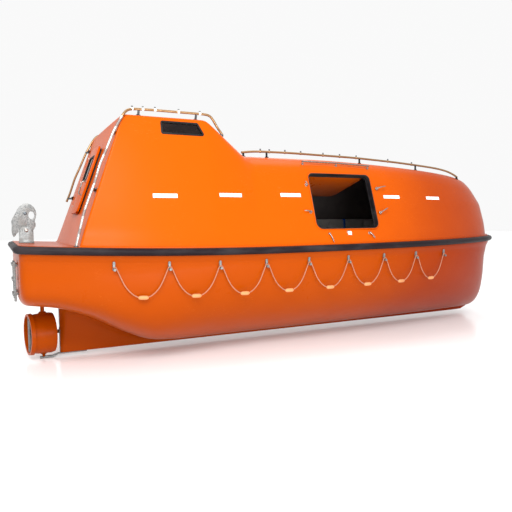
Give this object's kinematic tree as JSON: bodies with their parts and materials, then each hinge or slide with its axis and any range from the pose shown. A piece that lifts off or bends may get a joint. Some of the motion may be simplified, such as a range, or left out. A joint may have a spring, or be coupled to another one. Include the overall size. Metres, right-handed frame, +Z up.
{
  "type": "totally enclosed lifeboat",
  "caption": "Enclosed orange ship's lifeboat with steering tower, side hatches, grab lines, lifting hooks and a propeller in a steering nozzle.",
  "frame": {"origin": "on the centreline at the waterline, 3.60 m forward of the transom and 0.53 m above the underside of the keel", "axes": "+X towards the bow, +Y to port, +Z up"},
  "size_m": [7.3603, 2.7006, 2.8529],
  "materials": {
    "gelcoat": "glossy moulded orange gelcoat over glass fibre",
    "hatch_trim": "matt black sealing rubber",
    "fender_rubber": "dark grey-brown moulded rubber",
    "stainless": "polished stainless tube",
    "galvanised": "galvanised steel",
    "bronze": "cast propeller bronze",
    "rope": "pale orange floating rope with foam floats",
    "window": "smoked acrylic pane",
    "bench_moulding": "grey moulded seat",
    "engine_paint": "dark painted engine"
  },
  "bodies": {
    "boat": {"hull": "gelcoat", "canopy": "gelcoat", "fender_starboard": "fender_rubber", "fender_port": "fender_rubber", "grab_line_starboard": "rope", "grab_line_port": "rope", "hatch_coaming_starboard": "hatch_trim", "hatch_coaming_port": "hatch_trim", "hatch_hinge_starboard": "stainless", "hatch_hinge_port": "stainless", "hatch_rail_starboard": "stainless", "hatch_rail_port": "stainless", "tower_rail_starboard": "stainless", "tower_rail_port": "stainless", "roof_rail_starboard": "stainless", "roof_rail_port": "stainless", "aft_hatch_frame": "hatch_trim", "aft_hatch_hinge": "stainless", "tower_window_starboard": "window", "tower_window_port": "window", "tower_window_front": "window", "aft_hook_stand": "galvanised", "fore_hook_stand": "galvanised", "stock_bearing": "galvanised", "heel_bar": "galvanised", "stern_tube": "galvanised", "boarding_ladder": "galvanised", "bench_starboard": "bench_moulding", "bench_port": "bench_moulding", "helm_seat": "bench_moulding", "engine": "engine_paint"},
    "starboard_door": {"hatch_door_starboard": "gelcoat"},
    "port_door": {"hatch_door_port": "gelcoat"},
    "tower_door": {"aft_hatch": "gelcoat", "aft_hatch_window": "window"},
    "nozzle": {"steering_nozzle": "gelcoat", "nozzle_band": "galvanised"},
    "screw": {"propeller": "bronze"},
    "aft_release": {"aft_hook": "galvanised"},
    "fore_release": {"fore_hook": "galvanised"}
  },
  "joints": [
    {"name": "starboard_hatch", "type": "hinge", "parent": "boat", "child": "starboard_door", "pos_m": [-0.22, -0.84478, 1.62302], "axis": [1, 0, 0], "range_deg": [-92, 0]},
    {"name": "port_hatch", "type": "hinge", "parent": "boat", "child": "port_door", "pos_m": [-0.22, 0.84478, 1.62302], "axis": [-1, 0, 0], "range_deg": [0, 92]},
    {"name": "tower_hatch", "type": "hinge", "parent": "boat", "child": "tower_door", "pos_m": [-3.06443, 0.33, 0.78599], "axis": [-0.3426, 0, -0.9395], "range_deg": [0, 110]},
    {"name": "nozzle_steer", "type": "hinge", "parent": "boat", "child": "nozzle", "pos_m": [-3.333, 0, -0.276], "axis": [0, 0, 1], "range_deg": [-43, 27]},
    {"name": "propeller_spin", "type": "hinge", "parent": "boat", "child": "screw", "pos_m": [-3.333, 0, -0.272], "axis": [1, 0, 0], "continuous": true},
    {"name": "aft_hook_release", "type": "hinge", "parent": "boat", "child": "aft_release", "pos_m": [-3.475, 0, 0.94837], "axis": [0, 1, 0], "range_deg": [0, 60]},
    {"name": "fore_hook_release", "type": "hinge", "parent": "boat", "child": "fore_release", "pos_m": [3.18, 0, 0.90611], "axis": [0, 1, 0], "range_deg": [0, 60]}
  ]
}
